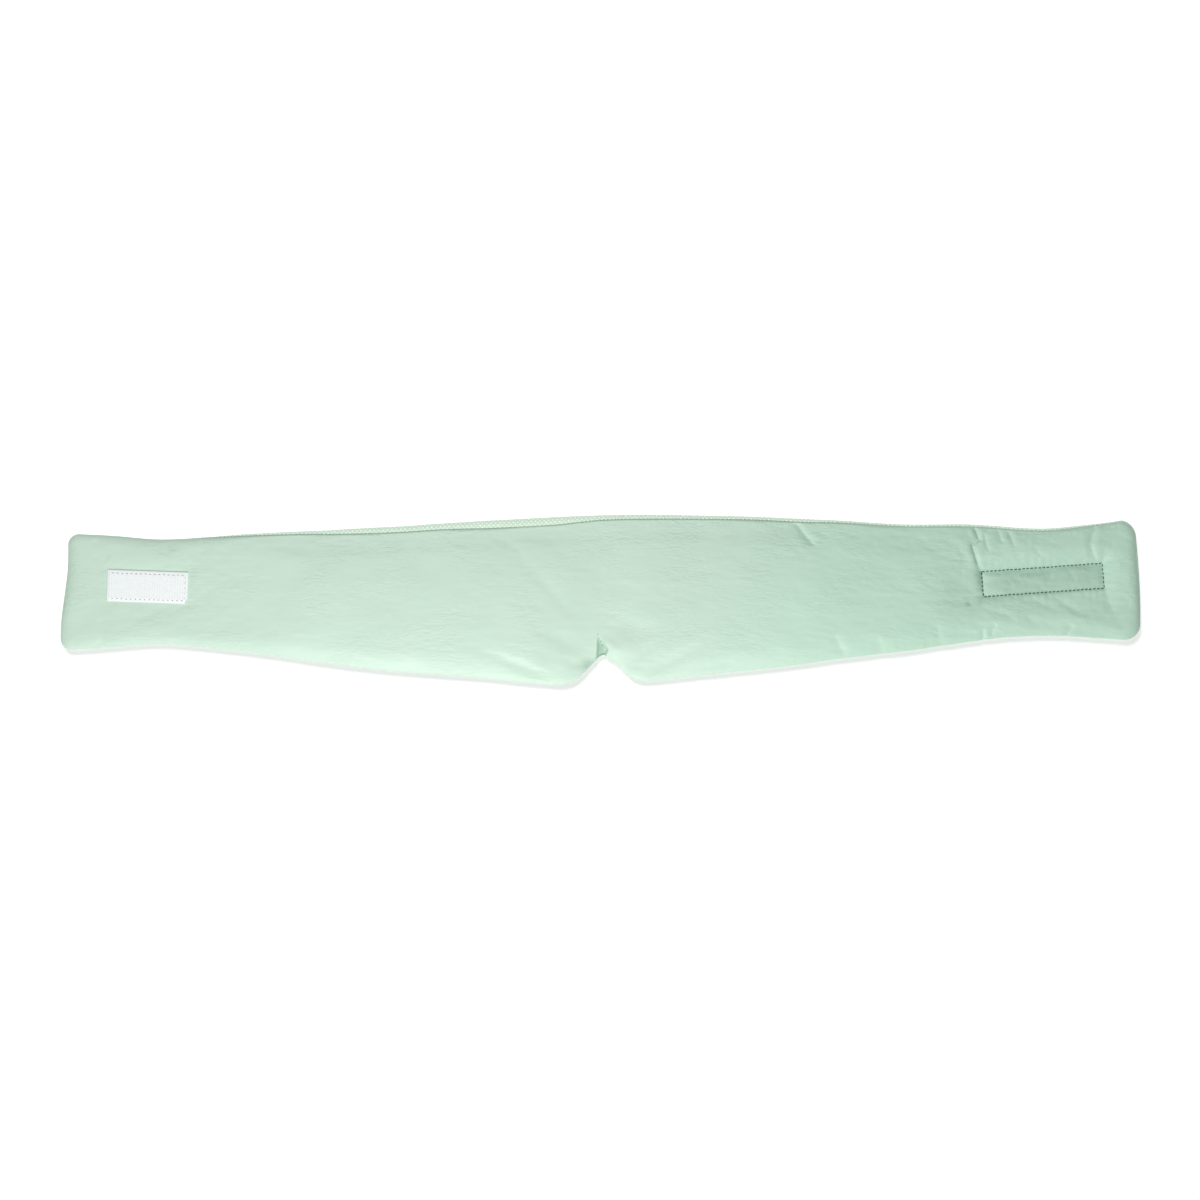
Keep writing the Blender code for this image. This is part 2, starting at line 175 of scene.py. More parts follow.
# Soft hollows and swellings of the face side: (x, y, half-width, half-height, rise) in millimetres.
SWELLS = [
    (11, -28.5, 10, 8, 1.5), (18.5, -15.5, 9, 6, -0.9), (31, -20, 9, 7, -0.7),
    (22, -34, 9, 6, 0.5), (-8.5, -39.5, 6, 5, -1.7),
    (-33, -34, 10, 6, -0.4), (-322, -2, 10, 13, -0.7), (-325, -22, 11, 7, 0.5),
    (-288, -10, 26, 5, -0.3), (-290, 28, 24, 6, 0.4), (229, 11, 9, 11, -0.7),
    (228, 36, 7, 9, 0.6), (338, 12, 9, 28, 0.8), (280, 34, 30, 6, 0.3),
    (280, -4, 38, 6, -0.9), (262, -13, 11, 6, 0.3), (305, -12, 12, 5, 0.4),
    (180, 15, 22, 14, -0.4),
    (140, 5, 24, 16, 0.3), (60, 10, 30, 18, -0.3), (-80, 0, 34, 20, 0.3),
    (-180, -14, 30, 12, 0.4), (-215, 14, 18, 12, -0.4),
]

# Slack and crinkles of the face side: (height, length, width) in millimetres, and their seed.
# A crinkle's height is a share of the amount that its place has.
SLACK = [(0.35, 34, 22, 1), (0.16, 15, 9, 2)]
CRINKLES = [(1.0, 8, 2.6, 4), (0.6, 4.2, 2.2, 5)]

# Gathers beside stitching: (height, pitch, how far they reach) in millimetres, and their seed.
BROW_GATHERS = (0.16, 5.2, 3.2, 11)
TIGHT_GATHERS = (0.30, 3.6, 2.6, 13)  # along a short stretch of the brow seam
CHEEK_GATHERS = (0.12, 6.4, 4, 12)
QUILT_GATHERS = (0.22, 5.4, 3.4, 14)
STRIP_GATHERS = (0.16, 4.6, 2.4, 15)

# The nose dart: its tip, and the two edges that its fold lies between.
DART_TIP_Y = -21.6 * MM
DART_LEFT = [(-38, -2.8), (-34.7, -2.4), (-21.6, -1.9)]  # (y, x) in millimetres
DART_RIGHT = [(-38, 2.4), (-34.7, 3.0), (-30.3, 4.4), (-21.6, -1.9)]
DART_DEPTH = 4.2 * MM
DART_SHADE = 0.4
QUILT_SHADE = 0.2
FLANK_SHADE = (-6.6, -39.8, 4.6, 0.42)  # beside the notch: (x, y, radius in millimetres, amount)

SPREAD = np.array((0.5, 0.5, 1.0))  # relief moves the outline less than it moves the face

# The grids of both covers.
COLUMN_STEPS = [  # (x, spacing of the columns there) in millimetres
    (-343, 0.9), (-300, 1.15), (-16, 1.15), (-9, 0.5), (9, 0.5), (16, 1.15), (222, 1.15),
    (232, 0.62), (332, 0.62), (343, 0.9),
]
SATIN_ROWS = 160
KNIT_ROWS = 112
ROW_CROWDING = 0.07
SECTION_SAMPLES = 240
OUTLINE_WINDOW = 56 * MM

# The cloth simulation that gives the face cover its natural slack.
SIM_COLUMNS = 210
SIM_ROWS = 40
SIM_FRAMES = 20
SIM_PRESSURE = 4.0
SIM_STIFFNESS = 1.0
SIM_SLACK = 0.001
SIM_CAP = 1.2 * MM
SIM_FADE = 17 * MM
NOTCH_STILLNESS = 0.85  # how much less the cover moves at the nose notch
NOTCH_REACH = 22 * MM

CLOTH_UV = "cloth"
# Name of the points' attribute that holds how much shade is painted on them.
PAINTED_SHADE_ATTRIBUTE = "painted_seam_shade"

# Materials.
SATIN_COLOUR = (0.575, 0.735, 0.62)
SATIN_DARK = (0.55, 0.715, 0.595)
SATIN_PAINTED_SHADE = (0.49, 0.70, 0.565)  # darker, greener towards the loop end: painted shade
KNIT_COLOUR = (0.90, 0.99, 0.88)
# the knit's colour between the raised dots: painted shade
KNIT_SHADE_BETWEEN_DOTS = (0.62, 0.81, 0.64)
# The dark colour that painted shade turns both covers to.
PAINTED_SHADE_COLOUR = (0.16, 0.30, 0.22)
KNIT_PITCH = 2.8 * MM
KNIT_DEPTH = 0.25 * MM
CRINKLE_DEPTH = 0.45 * MM
SATIN_SHEEN = (0.35, 0.45, (0.9, 1.0, 0.95))  # weight, roughness and tint
KNIT_SHEEN = (0.6, 0.5, (0.93, 1.0, 0.92))
PLAIN_LOOKS = {  # colour, darker colour, roughness, scale of the grain and its depth
    "White tape": ((0.88, 0.915, 0.91), (0.86, 0.90, 0.90), 0.7, 1400, 0.06 * MM),
    "Hooks": ((0.90, 0.93, 0.925), (0.88, 0.92, 0.92), 0.4, 900, 0.02 * MM),
    "Green tape": ((0.55, 0.74, 0.62), (0.48, 0.68, 0.55), 0.95, 1500, 0.2 * MM),
    # Green thread, tone on tone, painted much darker as the shade in its stitch grooves.
    "Green thread": ((0.05, 0.15, 0.09), (0.03, 0.1, 0.06), 0.7, 3000, 0.1 * MM),
    # The hook tape's thread is white; it is painted grey as the shade at its needle holes.
    "Grey thread": ((0.30, 0.33, 0.33), (0.22, 0.25, 0.25), 0.7, 3000, 0.1 * MM),
}

# Lights: place, diameter in metres and power in watts.
KEY_LIGHT = ((-0.11, -0.63, 0.45), 0.28, 4.6)
OVERHEAD_LIGHT = ((-0.45, 0.95, 2.4), 0.35, 26)
BACK_LIGHT = ((-0.3, 1.4, 0.9), 0.8, 4.6)
FLOOR_LIGHT = ((-1.6, 4.5, 6.4), 2.9, 300)
WORLD_STRENGTH = 0.28
FLOOR_SIZE = 12
FLOOR_GLOW = 0.45  # keeps the floor white where the band's shade is faint

# Camera, straight above the band.
CAMERA_HEIGHT = 3.0
LOOK_Z = 6 * MM
VIEW_WIDTH = 762 * MM
VIEW_CENTRE = (-0.3 * MM, 0.6 * MM)
SENSOR_WIDTH = 36


def smoothstep(t):
    t = np.clip(t, 0, 1)
    return t * t * (3 - 2 * t)


def ramp(x, start, length):
    """0 up to start, rising smoothly to 1 over a length, both in millimetres."""
    return smoothstep((x - start * MM) / (length * MM))


def bell(t):
    return np.exp(-(t**2))


def cubic_weights(t):
    """Weights of a cubic curve's start, the slope there, its end and the slope there."""
    return (1 + 2 * t) * (1 - t) ** 2, t * (1 - t) ** 2, t * t * (3 - 2 * t), t * t * (t - 1)


def through(points, x):
    """y at each x on the smooth curve through points given in millimetres."""
    xs, ys = np.array(points, float).T * MM
    slopes = np.empty_like(ys)
    slopes[1:-1] = (ys[2:] - ys[:-2]) / (xs[2:] - xs[:-2])
    slopes[0] = (ys[1] - ys[0]) / (xs[1] - xs[0])
    slopes[-1] = (ys[-1] - ys[-2]) / (xs[-1] - xs[-2])
    i = np.clip(np.searchsorted(xs, x) - 1, 0, len(xs) - 2)
    step = xs[i + 1] - xs[i]
    a, b, c, d = cubic_weights((x - xs[i]) / step)
    return a * ys[i] + b * step * slopes[i] + c * ys[i + 1] + d * step * slopes[i + 1]


def corner_cut(x):
    radius = np.where(x < 0, HOOK_CORNER_RADIUS, CORNER_RADIUS)
    into = np.clip(radius - (HALF_LENGTH - np.abs(x)), 0, radius)
    return radius - np.sqrt(radius**2 - into**2)


def brow(x):
    return through(BROW_EDGE, x) - corner_cut(x)


def cheek(x):
    return through(CHEEK_EDGE, x) + corner_cut(x)


def outline():
    xs = -HALF_LENGTH * np.cos(np.linspace(0, math.pi, 900))
    upper = np.stack([xs, brow(xs)], axis=1)
    lower = np.stack([xs[::-1], cheek(xs[::-1])], axis=1)
    return np.concatenate([upper, lower])


def nearest_on(path, x, y):
    """Distance of each place from a path, how far along it is, and which side (+1 is left)."""
    nearest = np.full(x.shape, 1e9)
    along = np.zeros(x.shape)
    side = np.ones(x.shape)
    lengths = np.hypot(*np.diff(path, axis=0).T)
    before = np.concatenate([[0], np.cumsum(lengths)])
    for k, (start, end) in enumerate(zip(path, path[1:])):
        step = end - start
        dx, dy = x - start[0], y - start[1]
        share = np.clip((dx * step[0] + dy * step[1]) / lengths[k] ** 2, 0, 1)
        distance = np.hypot(dx - share * step[0], dy - share * step[1])
        closer = distance < nearest
        nearest = np.where(closer, distance, nearest)
        along = np.where(closer, (before[k] + share * lengths[k]) / before[-1], along)
        side = np.where(closer, np.sign(step[0] * dy - step[1] * dx), side)
    return nearest, along, side


def ripple(u, v, across_u, across_v, seed):
    """Smooth noise from -1 to 1 with bumps of about the given sizes in millimetres."""
    lattice = np.random.default_rng(seed).uniform(-1, 1, (128, 128))
    u, v = u / (across_u * MM) + 64, v / (across_v * MM) + 64
    i, j = np.floor(u).astype(int), np.floor(v).astype(int)
    s, t = smoothstep(u - i), smoothstep(v - j)
    low = lattice[i % 128, j % 128] * (1 - s) + lattice[(i + 1) % 128, j % 128] * s
    high = lattice[i % 128, (j + 1) % 128] * (1 - s) + lattice[(i + 1) % 128, (j + 1) % 128] * s
    return low * (1 - t) + high * t


def rounded(distance, reach, power=CROWN_POWER):
    """0 at the edge and 1 from reach inwards, upright at the edge."""
    t = np.clip(distance / reach, 0, 1)
    return (1 - (1 - t) ** power) ** (1 / power)


def in_tape(x, y, centre, tilt):
    """Places along and across a tape, from its middle."""
    dx, dy = x - centre[0], y - centre[1]
    cos, sin = math.cos(tilt), math.sin(tilt)
    return dx * cos + dy * sin, dy * cos - dx * sin


def outside_tape(x, y, centre, tilt, length, width):
    """Distance outside a tape's rectangle, negative inside it."""
    along, across = in_tape(x, y, centre, tilt)
    past_x, past_y = np.abs(along) - length / 2, np.abs(across) - width / 2
    outside = np.hypot(np.maximum(past_x, 0), np.maximum(past_y, 0))
    return outside + np.minimum(np.maximum(past_x, past_y), 0)


def edge_distances(columns, y):
    """Distance of each column's places from the part of the outline near that column."""
    edge = outline()
    steps = np.roll(edge, -1, axis=0) - edge
    squares = np.maximum(np.sum(steps**2, axis=1), 1e-18)
    distance = np.zeros_like(y)
    for i, column in enumerate(columns):
        near = np.abs(edge[:, 0] - column) < OUTLINE_WINDOW
        places = np.stack([np.full(y.shape[1], column), y[i]], axis=1)
        apart = places[:, None] - edge[near]
        share = np.clip(np.sum(apart * steps[near], axis=2) / squares[near], 0, 1)
        away = apart - steps[near] * share[:, :, None]
        distance[i] = np.sqrt(np.min(np.sum(away**2, axis=2), axis=1))
    return distance


def face_height(x, y, distance):
    """Height of the face side before its creases."""
    outwards = np.abs(x) - ENDS_FROM
    thin = ramp(outwards, 0, 40)
    rise = RISE_MIDDLE + (RISE_ENDS - RISE_MIDDLE) * thin
    reach = REACH_MIDDLE + (REACH_ENDS - REACH_MIDDLE) * ramp(outwards, 0, 60)
    reach += (REACH_LOOP_END - reach) * ramp(x, 312, 20)
    z = EDGE_Z + rise * rounded(distance, reach)
    z -= BROW_FALL * (1 - thin) * np.maximum(y - 12 * MM, 0) * ramp(distance, 0, 16)
    hook = outside_tape(x, y, *HOOK_TAPE)
    z += (HOOK_SEAT_Z - z) * (1 - ramp(hook, 0.5, 9))
    quilt = outside_tape(x, y, *QUILTING)
    across = in_tape(x, y, LOOP_CENTRE, LOOP_TILT)[1]
    low = QUILT_Z - QUILT_SLOPE * np.clip(across, -STITCH_LINE, STITCH_LINE)
    pressed = low + (z - low) * rounded(quilt, 11 * MM, 1.6)
    puff = low + 0.7 * MM * rounded(-quilt, 5 * MM, 1.7)
    return np.where(quilt > 0, pressed, puff)


def under_height(x, y, distance):
    """Height of the outer cover on its underside."""
    z = EDGE_Z * (1 - rounded(distance, REACH_UNDER, 2))
    loop = outside_tape(x, y, *LOOP_TAPE)
    return z + (LOOP_SEAT_Z - z) * (1 - ramp(loop, 0.8, 6))


def column_places():
    """Places of the grids' columns along the band, close together at both ends."""
    graded = np.cumsum([0, 0.08, 0.15, 0.22, 0.3, 0.4, 0.5, 0.6, 0.7, 0.8]) * MM
    inner = HALF_LENGTH - graded[-1]
    places, spacing = np.array(COLUMN_STEPS, float).T * MM
    fine = np.linspace(-inner, inner, 20001)
    count = np.cumsum(np.gradient(fine) / np.interp(fine, places, spacing))
    even = np.interp(np.linspace(count[0], count[-1], int(count[-1])), count, fine)
    return np.concatenate([-HALF_LENGTH + graded[:-1], even, (HALF_LENGTH - graded[:-1])[::-1]])


def sections(columns):
    """Both covers' points, as arrays of (column, row, xyz), and their lengths of cloth."""
    theta = np.linspace(0, math.pi, SECTION_SAMPLES)
    share = (1 - np.cos(theta)) / 2
    bottom, top = cheek(columns), brow(columns)
    y = bottom[:, None] + (top - bottom)[:, None] * share
    x = np.repeat(columns[:, None], SECTION_SAMPLES, axis=1)
    distance = edge_distances(columns, y)
    z_up = face_height(x, y, distance)
    z_low = under_height(x, y, distance)
    for edge in (0, -1):
        z_up[:, edge] = z_low[:, edge] = EDGE_Z
    z_up[[0, -1]] = z_low[[0, -1]] = EDGE_Z

    satin = np.zeros((len(columns), SATIN_ROWS + 1, 3))
    knit = np.zeros((len(columns), KNIT_ROWS + 1, 3))
    satin_arc = np.zeros(satin.shape[:2])
    knit_arc = np.zeros(knit.shape[:2])
    roll = np.maximum(through(SEAM_ROLL, columns), 0)
    tuck = CHEEK_SEAM_UNDER * ramp(HALF_LENGTH - np.abs(columns), 0, 25)
    for i, column in enumerate(columns):
        ring_y = np.concatenate([y[i], y[i, -2:0:-1]])
        ring_z = np.concatenate([z_up[i], z_low[i, -2:0:-1]])
        steps = np.hypot(np.diff(ring_y, append=ring_y[0]), np.diff(ring_z, append=ring_z[0]))
        arc = np.concatenate([[0], np.cumsum(steps)])
        total = arc[-1]
        brow_arc = np.interp(top[i] - roll[i], y[i], arc[:SECTION_SAMPLES])
        for rows, grid, arcs, start, stop in (
            (SATIN_ROWS, satin, satin_arc, -tuck[i], brow_arc),
            (KNIT_ROWS, knit, knit_arc, brow_arc, total - tuck[i]),
        ):
            even = np.linspace(0, 1, rows + 1)
            at = start + (stop - start) * (even - ROW_CROWDING * np.sin(2 * math.pi * even))
            grid[i, :, 0] = column
            grid[i, :, 1] = np.interp(at, arc[:-1], ring_y, period=total)
            grid[i, :, 2] = np.interp(at, arc[:-1], ring_z, period=total)
            arcs[i] = at
    return satin, knit, satin_arc, knit_arc


def grid_normals(grid):
    """Unit normals of a grid of points."""
    along = np.gradient(grid, axis=0)
    across = np.gradient(grid, axis=1)
    normal = np.cross(along, across)
    return normal / np.maximum(np.linalg.norm(normal, axis=2, keepdims=True), 1e-12)


def crease_relief(x, y, depth, width, step, points):
    """A valley along a line, with a low shoulder beside it and one side higher than the other."""
    depth, width, step = depth * MM, width * MM, step * MM
    distance, along, side = nearest_on(np.array(points) * MM, x, y)
    t = distance / width
    valley = -depth * np.exp(0.5 - np.sqrt(t * t + 0.25))
    shoulder = 0.16 * depth * bell((t - 3.6) / 2.2)
    lean = 0.5 * step * side * np.exp(-t / 4) * (1 - np.exp(-t * t))
    ends = smoothstep(along / 0.18) * smoothstep((1 - along) / 0.18)
    return (valley + shoulder + lean) * ends


def swell_relief(x, y):
    relief = np.zeros_like(x)
    for cx, cy, half_x, half_y, rise in SWELLS:
        away = ((x / MM - cx) / half_x) ** 2 + ((y / MM - cy) / half_y) ** 2
        relief += rise * MM * np.exp(-away)
    return relief


def dart_edges(y):
    """x of the left and the right edge of the nose dart's fold."""
    return [np.interp(y, *(np.array(edge).T * MM)) for edge in (DART_LEFT, DART_RIGHT)]


def in_dart(x, y):
    """1 in the fold of the nose dart, and 0 outside it."""
    left, right = dart_edges(y)
    inside = ramp(x - left, 0, 0.7) * ramp(right - x, 0, 0.7)
    return inside * (y < DART_TIP_Y)


def dart_relief(x, y):
    """The fold of the nose dart: it slopes down to the right, under the cushion on that side."""
    left, right = dart_edges(y)
    share = np.clip((x - left) / np.maximum(right - left, 0.2 * MM), 0, 1)
    beyond = ramp(x - right, -0.3, 0.9)
    depth = DART_DEPTH * ramp(DART_TIP_Y - y, 0, 7)
    bulge = bell((x - right - 3.4 * MM) / (4.4 * MM))
    lip = 0.8 * MM * bulge * ramp(DART_TIP_Y - y, 0, 6)
    return -depth * share**0.5 * (1 - beyond) + lip * (y < DART_TIP_Y + 6 * MM)


def puckers(distance, along, pitch, reach, seed):
    """Small gathers beside a line of stitching, from -1 to 1, that fade away from it."""
    phase = 2 * math.pi * along / (pitch * MM) + 2.4 * ripple(along, along * 0, 9, 1, seed)
    size = 0.6 + 0.4 * ripple(along, along * 0, 14, 1, seed + 1)
    rise = 1 - bell(distance / (0.9 * MM))
    return np.cos(phase) * size * rise * np.exp(-distance / (reach * MM))


def gathers(distance, along, height, *shape):
    """Relief of the gathers beside a line of stitching."""
    return height * MM * puckers(distance, along, *shape)


def flank_shade(x, y):
    """Shade where the cover turns under beside the notch."""
    centre_x, centre_y, radius, amount = FLANK_SHADE
    return amount * np.exp(-((x / MM - centre_x) ** 2 + (y / MM - centre_y) ** 2) / radius**2)


def in_quilt(x, y):
    """About 1 in the strip inside the quilting, fading to its inner end, and 0 outside it."""
    quilt = outside_tape(x, y, *QUILTING)
    along, across = in_tape(x, y, LOOP_CENTRE, LOOP_TILT)
    fade = ramp(along, -38, 16) * (0.85 + across / (40 * MM))
    return ramp(-quilt, 0, 0.9) * fade


def crinkle_amount(x, y):
    """How strong the crinkles are: more towards the loop end, and beside the hook tape."""
    right_side = ramp(x, 60, 160)
    by_hook = np.exp(-(((x + 244 * MM) / (20 * MM)) ** 2) - ((y - 10 * MM) / (20 * MM)) ** 2)
    patches = 0.5 + 0.5 * ripple(x, y, 30, 18, 3)
    return 0.05 + 0.05 * patches + 0.07 * right_side + 0.10 * by_hook


def hook_pull(x, y, hook):
    """Fine folds that run out from the ends of the hook tape."""
    reach, beside = in_tape(x, y, HOOK_CENTRE, HOOK_TILT)
    pulled = np.exp(-np.maximum(hook, 0) / (12 * MM))
    pulled *= ramp(13 * MM - np.abs(beside), 0, 3)
    pulled *= np.where(reach > 0, 0.15, 0.05) * (0.6 + 0.4 * ripple(x, y, 12, 5, 17))
    lines = beside / (2.3 * MM) + 0.5 * ripple(x, y, 16, 6, 18)
    return MM * pulled * np.cos(2 * math.pi * lines) * (hook > 0.6 * MM)


def satin_relief(grid, arcs):
    """How far the face cover's cloth stands out from its smooth form."""
    x, y = grid[:, :, 0], grid[:, :, 1]
    from_brow = arcs[:, -1:] - arcs
    from_cheek = arcs - arcs[:, :1]
    relief = swell_relief(x, y) + dart_relief(x, y)
    for crease in CREASES:
        relief += crease_relief(x, y, *crease)
    for height, length, width, seed in SLACK:
        relief += height * MM * ripple(x, y, length, width, seed)
    amount = crinkle_amount(x, y)
    for share, length, width, seed in CRINKLES:
        relief += share * amount * MM * ripple(x, y, length, width, seed)

    relief += gathers(from_brow, x, *BROW_GATHERS)
    relief += gathers(from_brow, x, *TIGHT_GATHERS) * bell((x - 112 * MM) / (14 * MM))
    relief += gathers(from_cheek, x, *CHEEK_GATHERS)
    quilt = outside_tape(x, y, *QUILTING)
    along, across = in_tape(x, y, LOOP_CENTRE, LOOP_TILT)
    round_quilt = np.where(np.abs(across) > STITCH_LINE, along, across)
    relief += gathers(np.maximum(quilt, 0), round_quilt, *QUILT_GATHERS) * (quilt > 0)
    relief += gathers(np.maximum(-quilt, 0), round_quilt, *STRIP_GATHERS) * (quilt < 0)
    hook = outside_tape(x, y, *HOOK_TAPE)
    relief += hook_pull(x, y, hook)

    # The cover lies still under the tape, and meets the other cover in a groove.
    relief *= ramp(hook, -0.6, 1.6)
    relief *= ramp(from_brow, 0, 2.2)
    relief *= ramp(from_cheek, -0.2, 3.4)
    relief -= groove(from_brow) + 0.5 * groove(from_cheek)
    return relief * end_fade(x)


def groove(distance):
    return 0.4 * MM * bell(distance / (0.6 * MM))


def end_fade(x):
    return ramp(HALF_LENGTH - np.abs(x), 0, 3)


def knit_relief(grid, arcs):
    """How far the outer cover's cloth stands in from its smooth form, so it still lies on z = 0."""
    x, y = grid[:, :, 0], grid[:, :, 1]
    from_brow = arcs - arcs[:, :1]
    from_cheek = arcs[:, -1:] - arcs
    slack = 0.5 + 0.5 * ripple(x, y, 26, 16, 21)
    fine = 0.5 + 0.5 * ripple(x, y, 12, 7, 22)
    relief = -0.7 * MM * slack - 0.25 * MM * fine
    loop = outside_tape(x, y, *LOOP_TAPE)
    relief *= ramp(loop, 1, 4)
    relief *= ramp(from_brow, 0, 6) * ramp(from_cheek, 0, 6)
    gathered = (1 + puckers(from_brow, x, 5.2, 4, 11)) * (from_brow < 12 * MM)
    relief -= 0.12 * MM * gathered * ramp(from_brow, 0, 1.5)
    relief -= groove(from_brow) + 0.5 * groove(from_cheek)
    return relief * end_fade(x)


def shared_edges(satin_normals, knit_normals):
    """Makes both covers move the same way where they are sewn together."""
    for satin_row, knit_row in ((-1, 0), (0, -1)):
        both = satin_normals[:, satin_row] + knit_normals[:, knit_row]
        both /= np.maximum(np.linalg.norm(both, axis=1, keepdims=True), 1e-12)
        satin_normals[:, satin_row] = knit_normals[:, knit_row] = both


def lean_ends(grid):
    """Slants both ends of the band, whose brow corners lie further in."""
    x, y = grid[:, :, 0], grid[:, :, 1]
    up = ramp(y, -22, 50)
    grid[:, :, 0] += HOOK_END_LEAN * up * ramp(-x, 285, 58)
    up = np.clip((y + 5 * MM) / (54 * MM), 0, 1.1) ** 1.6
    grid[:, :, 0] -= LOOP_END_LEAN * up * ramp(x, 318, 25)


def link(name, data):
    obj = bpy.data.objects.new(name, data)
    bpy.context.scene.collection.objects.link(obj)
    return obj


def new_mesh(name, points, faces, look=None):
    mesh = bpy.data.meshes.new(name)
    mesh.from_pydata(points.reshape(-1, 3).tolist(), [], faces)
    if look:
        mesh.materials.append(look)
    return mesh


def quads_between(index, beside):
    """Faces between each row of points and the row beside it."""
    return np.stack([index[:-1], index[1:], beside[1:], beside[:-1]], axis=-1).reshape(-1, 4)


def cubic_resample(values, places, wanted, axis):
    """Values known at places along an axis, on a smooth curve at the wanted places."""
    values = np.moveaxis(values, axis, 0)
    i = np.clip(np.searchsorted(places, wanted, side="right") - 1, 0, len(places) - 2)
    t = (wanted - places[i]) / (places[i + 1] - places[i])
    t = t.reshape((-1,) + (1,) * (values.ndim - 1))
    before, after = values[np.maximum(i - 1, 0)], values[np.minimum(i + 2, len(places) - 1)]
    start, end = values[i], values[i + 1]
    slope_0, slope_1 = (end - before) / 2, (after - start) / 2
    a, b, c, d = cubic_weights(t)
    return np.moveaxis(a * start + b * slope_0 + c * end + d * slope_1, 0, axis)


def blown_up(satin, knit, arcs):
    """How far the face cover's points move when a coarse copy of the band is blown up as cloth."""
    columns = np.unique(np.linspace(0, len(satin) - 1, SIM_COLUMNS).astype(int))
    satin_rows = np.unique(np.linspace(0, SATIN_ROWS, SIM_ROWS).astype(int))
    knit_rows = np.linspace(0, KNIT_ROWS, SIM_ROWS // 2).astype(int)[1:-1]
    face = satin[columns][:, satin_rows]
    ring = np.concatenate([face, knit[columns][:, knit_rows]], axis=1)
    count, around = ring.shape[:2]
    index = np.arange(count * around).reshape(count, around)
    quads = quads_between(index, np.roll(index, -1, axis=1))
    mesh = new_mesh("blown_up", ring, quads.tolist())
    pad = link("blown_up", mesh)

    x, y = ring[:, :, 0], ring[:, :, 1]
    hook = outside_tape(x, y, *HOOK_TAPE)
    quilt = outside_tape(x, y, *QUILTING)
    still = (hook < 1 * MM) | (np.abs(quilt) < 1.8 * MM) | (in_dart(x, y) > 0.1)
    still[:, len(satin_rows) - 1:] = True
    still[:, 0] = still[0] = still[-1] = True
    held = pad.vertex_groups.new(name="held")
    held.add(index[still].tolist(), 1.0, "REPLACE")

    cloth = pad.modifiers.new("Cloth", "CLOTH")
    settings = cloth.settings
    settings.quality = 5
    settings.vertex_group_mass = "held"
    settings.use_pressure = True
    settings.uniform_pressure_force = SIM_PRESSURE
    settings.shrink_min = -SIM_SLACK
    settings.bending_stiffness = SIM_STIFFNESS
    settings.effector_weights.gravity = 0
    cloth.collision_settings.use_collision = False
    for frame_number in range(1, SIM_FRAMES + 1):
        bpy.context.scene.frame_set(frame_number)
    done = pad.evaluated_get(bpy.context.evaluated_depsgraph_get())
    after = np.empty(count * around * 3, np.float32)
    done.data.vertices.foreach_get("co", after)
    moved = (after.reshape(ring.shape) - ring)[:, :len(satin_rows)]
    bpy.context.scene.frame_set(1)
    bpy.data.objects.remove(pad)
    bpy.data.meshes.remove(mesh)

    length = np.linalg.norm(moved, axis=2, keepdims=True)
    moved *= SIM_CAP * np.tanh(length / SIM_CAP) / np.maximum(length, 1e-9)
    moved = cubic_resample(moved, columns, np.arange(len(satin)), 0)
    moved = cubic_resample(moved, satin_rows, np.arange(SATIN_ROWS + 1), 1)
    by_edge = smoothstep((arcs[:, -1:] - arcs) / SIM_FADE)
    by_edge *= smoothstep((arcs - arcs[:, :1]) / SIM_FADE)
    by_notch = NOTCH_STILLNESS * bell(satin[:, :, 0] / NOTCH_REACH)
    return moved * (by_edge * (1 - by_notch))[:, :, None]


def below_hooks(grid):
    """Keeps the padding round the hook tape low enough for the loop end to lie on the hooks."""
    x, z = grid[:, :, 0], grid[:, :, 2]
    start, length = HOOK_PAD_RAMP
    limit = HOOK_PAD_TOP + HOOK_PAD_RISE * smoothstep((x - start) / length)
    grid[:, :, 2] = limit - HOOK_PAD_SOFT * np.logaddexp(0, (limit - z) / HOOK_PAD_SOFT)


def make_covers(columns):
    """Points and cloth lengths of both covers, with all their relief."""
    satin, knit, satin_arc, knit_arc = sections(columns)
    satin += blown_up(satin, knit, satin_arc)
    below_hooks(satin)
    satin_out, knit_out = grid_normals(satin), grid_normals(knit)
    shared_edges(satin_out, knit_out)
    satin += satin_out * SPREAD * satin_relief(satin, satin_arc)[:, :, None]
    knit += knit_out * SPREAD * knit_relief(knit, knit_arc)[:, :, None]
    for grid in (satin, knit):
        lean_ends(grid)
        grid[:, :, 2] = np.maximum(grid[:, :, 2], 0)
    return satin, knit, satin_arc, knit_arc


def painted_seam_shade(arcs, columns, brow_row):
    """How much shade is painted along the needle line and groove of the brow seam, from 0 to 1."""
    distance = np.abs(arcs - arcs[:, brow_row][:, None])
    teeth = 0.65 + 0.35 * np.cos(2 * math.pi * columns / (2.3 * MM))
    fainter = 1 - 0.6 * ramp(columns, 130, 40)
    return bell(distance / (0.45 * MM)) * (teeth * fainter)[:, None]


def grid_mesh(name, grid, normals, arcs, shade, first, last, look):
    """A mesh of a grid's columns from first to last, with its own UV map in metres of cloth."""
    part = grid[first:last + 1]
    columns, rows = part.shape[:2]
    index = np.arange(columns * rows).reshape(columns, rows)
    quads = quads_between(index[:, :-1], index[:, 1:])
    mesh = new_mesh(name, part, quads.tolist(), look)
    layer = mesh.uv_layers.new(name=CLOTH_UV)
    uv = np.stack([part[:, :, 0], arcs[first:last + 1]], axis=-1).reshape(-1, 2)
    layer.data.foreach_set("uv", uv[quads.ravel()].astype(np.float32).ravel())
    attribute = mesh.attributes.new(PAINTED_SHADE_ATTRIBUTE, "FLOAT", "POINT")
    attribute.data.foreach_set("value", shade[first:last + 1].astype(np.float32).ravel())
    mesh.shade_smooth()
    mesh.normals_split_custom_set_from_vertices(normals[first:last + 1].reshape(-1, 3).tolist())
    return link(name, mesh)


